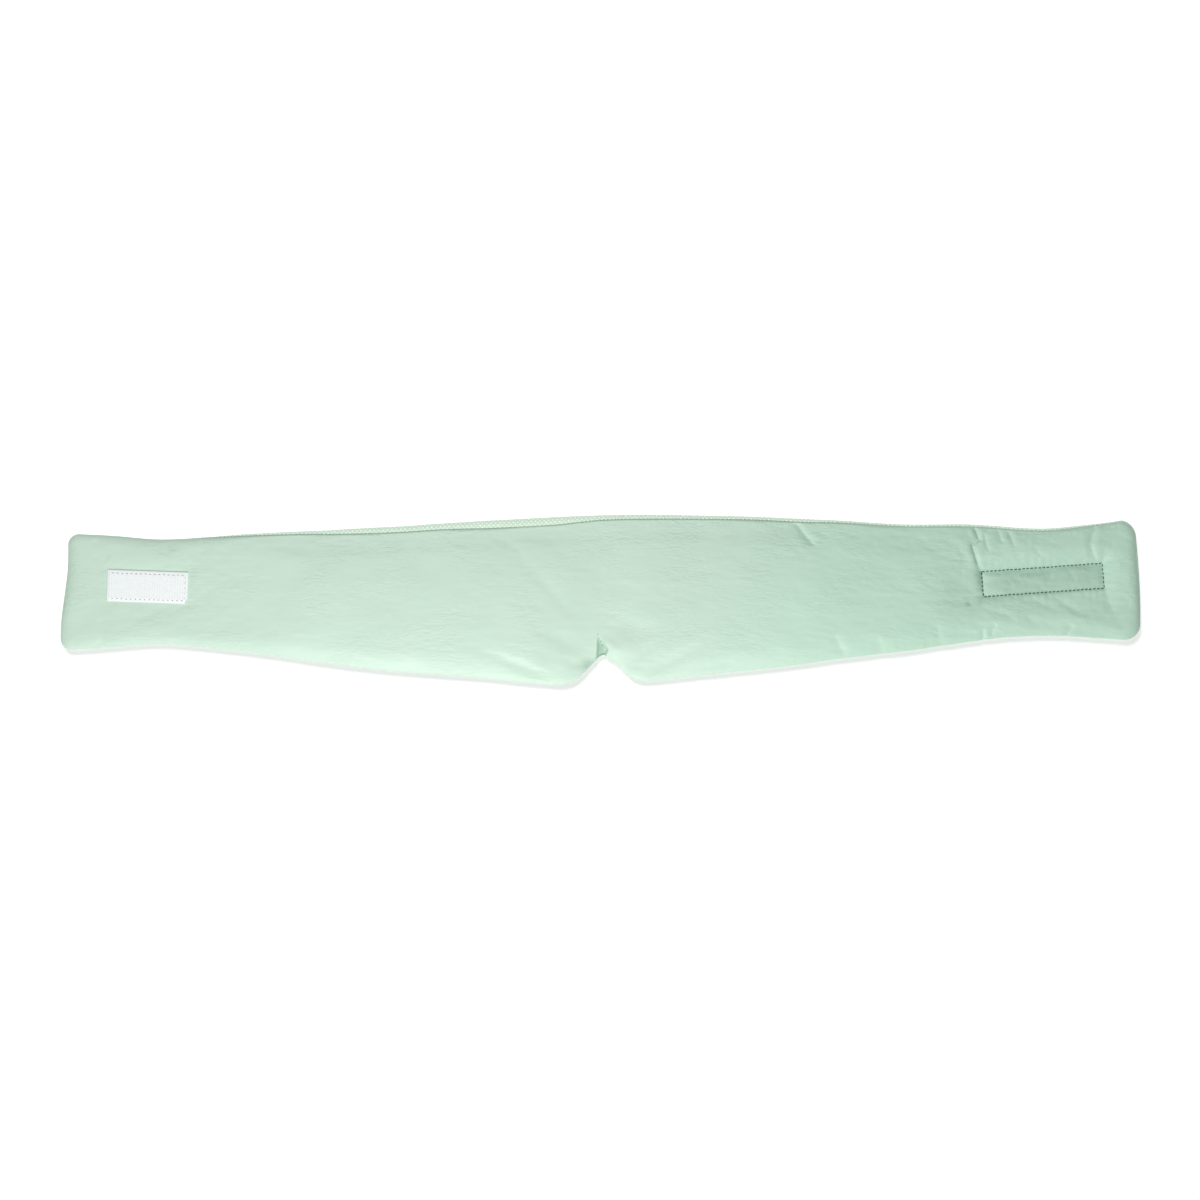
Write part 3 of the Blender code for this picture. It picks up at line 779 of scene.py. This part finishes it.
def height_on(grid, x, y):
    """Height of a cover's face side at a place."""
    row_x = grid[:, grid.shape[1] // 2, 0]
    i = int(np.clip(np.searchsorted(row_x, x) - 1, 0, len(row_x) - 2))
    share = (x - row_x[i]) / (row_x[i + 1] - row_x[i])
    low = np.interp(y, grid[i, :, 1], grid[i, :, 2])
    high = np.interp(y, grid[i + 1, :, 1], grid[i + 1, :, 2])
    return low + (high - low) * share


# Tapes and threads


def tube(path, radii, sides, verts, faces):
    """Adds a closed tube through points to verts and faces."""
    base = len(verts)
    for k, (point, radius) in enumerate(zip(path, radii)):
        ahead = path[min(k + 1, len(path) - 1)] - path[max(k - 1, 0)]
        side = ahead.cross(Vector((0.13, 0.21, 1))).normalized()
        up = side.cross(ahead).normalized()
        for s in range(sides):
            angle = 2 * math.pi * s / sides
            verts.append(point + (side * math.cos(angle) + up * math.sin(angle)) * radius)
    for k in range(len(path) - 1):
        for s in range(sides):
            a, b = base + k * sides + s, base + k * sides + (s + 1) % sides
            faces.append((a, b, b + sides, a + sides))
    faces.append(tuple(base + s for s in reversed(range(sides))))
    faces.append(tuple(base + (len(path) - 1) * sides + s for s in range(sides)))


def tube_mesh(name, tubes, radius, sides, look):
    """One mesh of many short tubes, thinner at their ends."""
    verts, faces = [], []
    for path in tubes:
        last = len(path) - 1
        radii = [radius * (0.55 if k in (0, last) else 1) for k in range(last + 1)]
        tube(path, radii, sides, verts, faces)
    mesh = new_mesh(name, np.array(verts, float), faces, look)
    mesh.shade_smooth()
    return link(name, mesh)


def tape_to_world(centre, tilt, u, v):
    cos, sin = math.cos(tilt), math.sin(tilt)
    return centre[0] + u * cos - v * sin, centre[1] + u * sin + v * cos


def stitches_along(start, end, stitch, height, sink, wobble=0.0):
    """Bent stitches along a straight line in the plane; height(x, y) is the cloth under them."""
    (x0, y0), (x1, y1) = start, end
    dash, pitch = stitch
    length = math.hypot(x1 - x0, y1 - y0)
    count = max(1, round(length / pitch))
    made = []
    for k in range(count):
        middle = (k + 0.5) / count
        reach = dash / length / 2
        drift = wobble * noise.noise(Vector((k * 0.7, x0 * 900, y0 * 900)))
        path = []
        for t, lift in ((-1, -1.2), (-0.72, -0.1), (0, 0.25), (0.72, -0.1), (1, -1.2)):
            s = middle + t * reach
            x = x0 + (x1 - x0) * s - (y1 - y0) / length * drift
            y = y0 + (y1 - y0) * s + (x1 - x0) / length * drift
            path.append(Vector((x, y, height(x, y) - sink + lift * THREAD_RADIUS)))
        made.append(path)
    return made


def slab(name, top, bottom, look):
    """A closed mesh between two grids of points."""
    rows, columns = top.shape[:2]
    index = np.arange(rows * columns).reshape(rows, columns)
    under = index + rows * columns
    faces = []
    for grid, flip in ((index, False), (under, True)):
        quads = quads_between(grid[:, :-1], grid[:, 1:])
        faces += (quads[:, ::-1] if flip else quads).tolist()
    rim = [*index[:, 0], *index[-1, 1:], *index[-2::-1, -1], *index[0, -2:0:-1]]
    for a, b in zip(rim, rim[1:] + rim[:1]):
        faces.append((int(b), int(a), int(a) + rows * columns, int(b) + rows * columns))
    mesh = new_mesh(name, np.concatenate([top, bottom]), faces, look)
    mesh.shade_smooth()
    mesh.set_sharp_from_angle(angle=math.radians(50))
    return link(name, mesh)


def tape_slab(name, centre, tilt, us, vs, z_top, z_bottom, look, clip=None):
    """A tape's base, over lengths us and widths vs. If clip is given, one corner is cut off."""
    u, v = np.meshgrid(us, vs, indexing="ij")
    if clip:
        over = np.maximum(u - us[-1] + clip[0] - (v - vs[0]) * clip[0] / clip[1], 0)
        u = u - np.where(v - vs[0] < clip[1], over, 0)
    x, y = tape_to_world(centre, tilt, u, v)
    top = np.stack([x, y, z_top(u, v)], axis=-1)
    return slab(name, top, np.stack([x, y, z_bottom + 0 * u], axis=-1), look)


def hook_bristles(look):
    """Small bent hooks in rows over the hook tape."""
    tubes = []
    for i in range(HOOK_COLUMNS):
        for j in range(HOOK_ROWS):
            u = (i / (HOOK_COLUMNS - 1) - 0.5) * (HOOK_LENGTH - 2.6 * MM)
            v = (j / (HOOK_ROWS - 1) - 0.5) * (TAPE_WIDTH - 5.2 * MM)
            bend_way = 1 if j % 2 else -1
            path = []
            for du, z in ((0, -0.1), (0.02, 0.45), (0.18, 0.68), (0.40, 0.62)):
                x, y = tape_to_world(HOOK_CENTRE, HOOK_TILT, u + bend_way * du * MM, v)
                path.append(Vector((x, y, HOOK_TAPE_Z[1] + z * MM)))
            tubes.append(path)
    return tube_mesh("hook_tape_hooks", tubes, HOOK_RADIUS, 5, look)


def loop_pile(name, first, last, look):
    """Small standing loops under the loop tape, over lengths first to last."""
    tubes = []
    for i in range(math.ceil(first / LOOP_PITCH), math.ceil(last / LOOP_PITCH)):
        for j in range(-5, 6):
            u = (i + 0.25 * (j % 2)) * LOOP_PITCH
            v = j * LOOP_PITCH
            turn = 1.2 * noise.noise(Vector((i * 0.37, j * 0.53, 4.2)))
            path = []
            for k in range(6):
                angle = math.pi * k / 5
                out = math.cos(angle) * 0.55 * MM
                x, y = tape_to_world(
                    LOOP_CENTRE, LOOP_TILT, u + out * math.cos(turn), v + out * math.sin(turn)
                )
                z = LOOP_TAPE_Z[0] + 0.1 * MM - 0.74 * MM * math.sin(angle)
                path.append(Vector((x, y, z)))
            tubes.append(path)
    return tube_mesh(name, tubes, LOOP_RADIUS, 4, look)


# Materials


def set_inputs(node, values):
    for key, value in values.items():
        node.inputs[key].default_value = value


def new_material(name, colour, roughness):
    look = bpy.data.materials.new(name)
    look.use_nodes = True
    set_inputs(look.node_tree.nodes["Principled BSDF"], {
        "Base Color": (*colour, 1), "Roughness": roughness, "Specular IOR Level": 0.3,
    })
    return look


class Nodes:
    """Short calls for building a material's nodes."""

    def __init__(self, look):
        self.tree = look.node_tree
        self.shader = self.tree.nodes["Principled BSDF"]

    def add(self, kind, inputs=None, **settings):
        node = self.tree.nodes.new(kind)
        for key, value in settings.items():
            setattr(node, key, value)
        for key, value in (inputs or {}).items():
            if isinstance(value, bpy.types.NodeSocket):
                self.tree.links.new(value, node.inputs[key])
            else:
                node.inputs[key].default_value = value
        return node

    def math(self, operation, a, b=0.0):
        return self.add("ShaderNodeMath", {0: a, 1: b}, operation=operation).outputs[0]

    def cloth(self, scale):
        """The cloth's own coordinates, stretched by scale along and across it."""
        uv = self.add("ShaderNodeUVMap", uv_map=CLOTH_UV).outputs[0]
        return self.add("ShaderNodeMapping", {"Vector": uv, "Scale": (*scale, 1)}).outputs[0]

    def spread(self, value, low, high, **settings):
        """The value, stretched so that low becomes 0 and high becomes 1."""
        inputs = {"Value": value, "From Min": low, "From Max": high}
        return self.add("ShaderNodeMapRange", inputs, **settings).outputs[0]

    def noise(self, vector, scale=1.0, detail=2.0, distortion=0.0):
        node = self.add(
            "ShaderNodeTexNoise",
            {"Vector": vector, "Scale": scale, "Detail": detail, "Distortion": distortion},
        )
        return node.outputs[0]

    def ramp(self, value, stops):
        node = self.add("ShaderNodeValToRGB", {0: value})
        elements = node.color_ramp.elements
        while len(elements) < len(stops):
            elements.new(0.5)
        for element, (position, colour) in zip(elements, stops):
            element.position = position
            element.color = (*colour, 1)
        return node.outputs[0]

    def bump(self, height, distance, strength=1.0, normal=None):
        inputs = {"Height": height, "Distance": distance, "Strength": strength}
        if normal is not None:
            inputs["Normal"] = normal
        return self.add("ShaderNodeBump", inputs).outputs[0]

    def mixed(self, share, colour, other):
        """The colour, turning to another fixed colour by share."""
        inputs = {0: share, 6: colour, 7: (*other, 1)}
        return self.add("ShaderNodeMix", inputs, data_type="RGBA").outputs[2]

    def darkened_by_painted_shade(self, colour):
        """The colour, turning to the painted shade colour as the points' painted shade attribute
        says: along the seam's needle line, and on the face cover also in the dart's fold, inside
        the quilting and beside the notch.
        """
        shade = self.add("ShaderNodeAttribute", attribute_name=PAINTED_SHADE_ATTRIBUTE).outputs["Fac"]
        return self.mixed(shade, colour, PAINTED_SHADE_COLOUR)

    def sheen(self, weight, roughness, tint):
        values = {"Sheen Weight": weight, "Sheen Roughness": roughness, "Sheen Tint": (*tint, 1)}
        set_inputs(self.shader, values)

    def into(self, socket, value):
        self.tree.links.new(value, self.shader.inputs[socket])


def satin_material():
    """Smooth satin with fine crinkles that run along the band."""
    look = new_material("Satin", SATIN_COLOUR, 0.5)
    n = Nodes(look)
    n.sheen(*SATIN_SHEEN)
    shade = n.noise(n.cloth((22, 30)), detail=3)
    colour = n.ramp(shade, [(0.3, SATIN_DARK), (0.7, SATIN_COLOUR)])
    # The satin turns darker and greener towards the loop end: painted shade.
    along = n.add("ShaderNodeSeparateXYZ", {0: n.cloth((1, 1))}).outputs[0]
    painted_shade_to_loop_end = n.spread(along, 0.02, 0.2, interpolation_type="SMOOTHSTEP")
    n.into("Base Color", n.darkened_by_painted_shade(n.mixed(painted_shade_to_loop_end, colour, SATIN_PAINTED_SHADE)))
    where = n.noise(n.cloth((26, 34)), detail=1)
    mask = n.spread(where, 0.38, 0.62)
    crinkle = n.noise(n.cloth((190, 640)), detail=4, distortion=0.6)
    crinkles = n.math("MULTIPLY", crinkle, mask)
    normal = n.bump(crinkles, CRINKLE_DEPTH)
    weave = n.add(
        "ShaderNodeTexWave", {"Vector": n.cloth((700, 1500)), "Scale": 1.0, "Distortion": 1.5},
        wave_type="BANDS", bands_direction="DIAGONAL",
    ).outputs[1]
    n.into("Normal", n.bump(weave, 0.02 * MM, 0.5, normal))
    return look


def knit_material():
    """Dotted knit: small raised dots in offset rows, with shade painted between the dots."""
    look = new_material("Knit", KNIT_COLOUR, 0.85)
    n = Nodes(look)
    n.sheen(*KNIT_SHEEN)
    pitch = 2 * math.pi / KNIT_PITCH
    uv = n.add("ShaderNodeSeparateXYZ", {0: n.cloth((1, 1))})
    u = n.math("MULTIPLY", uv.outputs[0], pitch)
    v = n.math("MULTIPLY", uv.outputs[1], pitch)
    dots = n.math("MULTIPLY", n.math("SINE", u), n.math("SINE", v))
    height = n.math("MAXIMUM", dots, 0.0)
    # Darker between the dots: painted shade.
    colour = n.ramp(height, [(0.0, KNIT_SHADE_BETWEEN_DOTS), (0.5, KNIT_COLOUR)])
    n.into("Base Color", n.darkened_by_painted_shade(colour))
    n.into("Normal", n.bump(height, KNIT_DEPTH))
    return look


def cloth_like(name, colour, dark, roughness, scale, depth):
    """A plain woven or brushed material with a fine grain, by the piece's own place."""
    look = new_material(name, colour, roughness)
    n = Nodes(look)
    place = n.add("ShaderNodeTexCoord").outputs["Object"]
    grain = n.noise(place, scale=scale, detail=3)
    n.into("Base Color", n.ramp(grain, [(0.35, dark), (0.65, colour)]))
    n.into("Normal", n.bump(grain, depth))
    return look


# Pieces


def joint_table(frame):
    """Joints from the hook end on: (name, body on the left, body on the right, x, child)."""
    rows = []
    for joint in frame["joints"]:
        to_left = joint["axis"][1] > 0
        left, right = joint["parent"], joint["child"]
        if to_left:
            left, right = right, left
        rows.append((joint["name"], left, right, joint["pos_m"][0], joint["child"]))
    return sorted(rows, key=lambda row: row[3])


def cuts_between(joints):
    """Where the covers are cut: the middle of each body, from the hook end to the loop end."""
    places = [row[3] for row in joints]
    middles = [(a + b) / 2 for a, b in zip(places, places[1:])]
    return [-HALF_LENGTH - 1 * MM] + middles + [HALF_LENGTH + 1 * MM]


def bend(obj):
    """Bakes a piece's transform into its mesh."""
    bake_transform(obj)


def cover_pieces(prefix, cover, look, joints, columns, stands_for):
    """Cuts a cover at the bodies' middles, and hides the CAD parts that each length stands for."""
    grid, arcs, shade = cover
    normals = grid_normals(grid)
    edges = [int(np.argmin(np.abs(columns - cut))) for cut in cuts_between(joints)]
    for joint, first, last in zip(joints, edges, edges[1:]):
        name, _, _, _, child = joint
        piece = grid_mesh(f"{prefix}_{name}", grid, normals, arcs, shade, first, last, look)
        bend(piece)
        bodies = [child] + (["right_eye"] if name == "nose_flex" else [])
        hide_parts(*[f"{node}_{body}" for body in bodies for node in stands_for])


def stitch_corners(centre, tilt, length, width, inset):
    """The corners of the stitching inside a tape's edges."""
    u, v = length / 2 - inset, width / 2 - inset
    return [tape_to_world(centre, tilt, *at) for at in ((-u, -v), (u, -v), (u, v), (-u, v))]


def loop_tape_top(u, v):
    """Height of the loop tape's ribbed top, which lies against the outer cover."""
    return LOOP_TAPE_Z[1] + 0.05 * MM * np.cos(2 * math.pi * v / LOOP_PITCH) + 0 * u


def add_loop_tape(satin, joints, tape_look, thread_look):
    """The loop tape under the loop end, with the stitching that quilts the band above it."""

    def on_satin(x, y):
        return height_on(satin, x, y)

    corners = stitch_corners(*LOOP_TAPE, STITCH_INSET + 0.15 * MM)
    stitches = []
    for start, end in zip(corners, corners[1:] + corners[:1]):
        stitches += stitches_along(start, end, QUILT_STITCH, on_satin, -0.2 * MM, 0.25 * MM)
    middle = (joints[-1][3] + joints[-2][3]) / 2
    split = middle - LOOP_CENTRE[0]
    vs = np.linspace(-TAPE_WIDTH / 2, TAPE_WIDTH / 2, 27)
    halves = ((-LOOP_LENGTH / 2, split), (split, LOOP_LENGTH / 2))
    for joint, (first, last) in zip(joints[-2:], halves):
        us = np.linspace(first, last, 52)
        tape = tape_slab(
            f"loop_tape_{joint[0]}", LOOP_CENTRE, LOOP_TILT, us, vs,
            loop_tape_top, LOOP_TAPE_Z[0], tape_look,
        )
        pile = loop_pile(f"loop_pile_{joint[0]}", first, last, tape_look)
        near = [p for p in stitches if (p[2].x < middle) == (joint is joints[-2])]
        # The thread's dark colour is partly its own green and partly painted shade.
        threads = tube_mesh(f"quilt_stitches_{joint[0]}", near, THREAD_RADIUS, 7, thread_look)
        for piece, slot, node in (
            (tape, "loop_tape", "loop_tape"), (pile, "loop_tape", "loop_tape"),
            (threads, "green_thread", "loop_tape_stitching"),
        ):
            bend(piece)
            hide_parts(node)


def add_hook_tape(tape_look, hook_look, thread_look):
    """The hook tape on the face side: a plain woven base, rows of hooks, and its stitching."""
    us = np.linspace(-HOOK_LENGTH / 2, HOOK_LENGTH / 2, 86)
    vs = np.linspace(-TAPE_WIDTH / 2, TAPE_WIDTH / 2, 41)
    field = (HOOK_LENGTH / 2 - 0.7 * MM, TAPE_WIDTH / 2 - 2.1 * MM)

    def top(u, v):
        inside = ramp(field[1] - np.abs(v), 0, 0.5)
        rib = 0.04 * MM * np.cos(2 * math.pi * v / (1.48 * MM))
        edge = np.minimum(HOOK_LENGTH / 2 - np.abs(u), TAPE_WIDTH / 2 - np.abs(v))
        raised = HOOK_TAPE_Z[1] + 0.12 * MM * inside + rib * inside
        return raised - 0.25 * MM * np.exp(-edge / (0.25 * MM))

    base = tape_slab(
        "hook_tape_base", HOOK_CENTRE, HOOK_TILT, us, vs,
        top, HOOK_TAPE_Z[0] - 0.1 * MM, tape_look, HOOK_CLIP,
    )
    hooks = hook_bristles(hook_look)
    corners = stitch_corners(*HOOK_TAPE, STITCH_INSET)
    stitches = []
    for start, end in ((3, 2), (0, 1), (1, 2)):
        stitches += stitches_along(
            corners[start], corners[end], HOOK_STITCH,
            lambda x, y: HOOK_TAPE_Z[1], 0.02 * MM, 0.3 * MM,
        )
    # The stitches' grey is painted shade at the needle holes.
    threads = tube_mesh("hook_tape_stitches", stitches, FINE_THREAD_RADIUS, 7, thread_look)
    for piece, slot, node in (
        (base, "hook_tape", "hook_tape"), (hooks, "hook_tape", "hook_tape"),
        (threads, "grey_thread", "hook_tape_stitching"),
    ):
        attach(piece, "hook_end")
        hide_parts(node)


def add_dart_stitches(satin, look):
    """A few short stitches that hold the nose dart closed."""
    stitches = stitches_along(
        *DART_STITCH_ENDS, DART_STITCH, lambda x, y: height_on(satin, x, y), 0.15 * MM
    )
    piece = tube_mesh("dart_stitches", stitches, FINE_THREAD_RADIUS, 7, look)
    bend(piece)
    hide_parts("nose_dart_stitching")


def add_floor():
    bpy.ops.mesh.primitive_plane_add(size=FLOOR_SIZE)
    floor = bpy.context.object
    floor.name = "floor"
    look = new_material("Floor", (0.93, 0.93, 0.93), 0.9)
    set_inputs(look.node_tree.nodes["Principled BSDF"], {
        "Specular IOR Level": 0, "Emission Color": (1, 1, 1, 1), "Emission Strength": FLOOR_GLOW,
    })
    floor.data.materials.append(look)
    return floor


def add_light(name, place, size, energy, reached):
    """A round area light, aimed at the origin, that lights only the objects in one collection."""
    data = bpy.data.lights.new(name, "AREA")
    data.shape = "DISK"
    data.size = size
    data.energy = energy
    light = link(name, data)
    light.location = place
    light.rotation_euler = (-Vector(place)).to_track_quat("-Z", "Y").to_euler()
    light.light_linking.receiver_collection = reached


def add_camera():
    data = bpy.data.cameras.new("Camera")
    camera = link("Camera", data)
    bpy.context.scene.camera = camera
    data.sensor_width = SENSOR_WIDTH
    data.lens = data.sensor_width * (CAMERA_HEIGHT - LOOK_Z) / VIEW_WIDTH
    data.clip_end = 20
    camera.location = (*VIEW_CENTRE, CAMERA_HEIGHT)


def set_world(strength):
    world = bpy.data.worlds.new("World")
    bpy.context.scene.world = world
    world.use_nodes = True
    background = world.node_tree.nodes["Background"]
    set_inputs(background, {"Color": (1, 1, 1, 1), "Strength": strength})


def collected(name, objects):
    group = bpy.data.collections.new(name)
    for obj in objects:
        group.objects.link(obj)
    return group


def add_covers(satin, knit, satin_arc, knit_arc, columns, joints):
    """Both covers, with their painted shade. Their lengths of cloth start at the brow seam."""
    x, y = satin[:, :, 0], satin[:, :, 1]
    # Shade painted into the covers' colour: along the brow seam, in the dart's fold, inside the
    # quilting and beside the notch.
    satin_painted_shade = painted_seam_shade(satin_arc, columns, -1) + DART_SHADE * in_dart(x, y)
    satin_painted_shade += QUILT_SHADE * in_quilt(x, y) + flank_shade(x, y)
    knit_painted_shade = painted_seam_shade(knit_arc, columns, 0)
    cover_pieces(
        "satin", (satin, satin_arc - satin_arc[:, -1:], satin_painted_shade), satin_material(),
        joints, columns, ("inner_cover", "padding"),
    )
    cover_pieces(
        "knit", (knit, knit_arc - knit_arc[:, :1], knit_painted_shade), knit_material(),
        joints, columns, ("outer_cover",),
    )


def light_scene():
    """Adds the floor, the camera and the lights. The floor has a light of its own."""
    objects = list(bpy.context.scene.objects)
    knits = [obj for obj in objects if obj.name.startswith("knit_")]
    lit = collected("Lit by the key", objects)
    knit_only = collected("Lit from the back", knits)
    ground = collected("Lit by the floor light", [add_floor()])
    add_camera()
    set_world(WORLD_STRENGTH)
    add_light("Key", *KEY_LIGHT, lit)
    add_light("Overhead", *OVERHEAD_LIGHT, lit)
    add_light("Back", *BACK_LIGHT, knit_only)
    add_light("Floor light", *FLOOR_LIGHT, ground)
    bpy.context.scene.view_settings.view_transform = "Standard"


def main():
    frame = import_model()
    joints = joint_table(frame)
    columns = column_places()
    satin, knit, satin_arc, knit_arc = make_covers(columns)
    add_covers(satin, knit, satin_arc, knit_arc, columns, joints)
    looks = {name: cloth_like(name, *values) for name, values in PLAIN_LOOKS.items()}
    add_hook_tape(looks["White tape"], looks["Hooks"], looks["Grey thread"])
    add_loop_tape(satin, joints, looks["Green tape"], looks["Green thread"])
    add_dart_stitches(satin, looks["Green thread"])
    light_scene()


main()
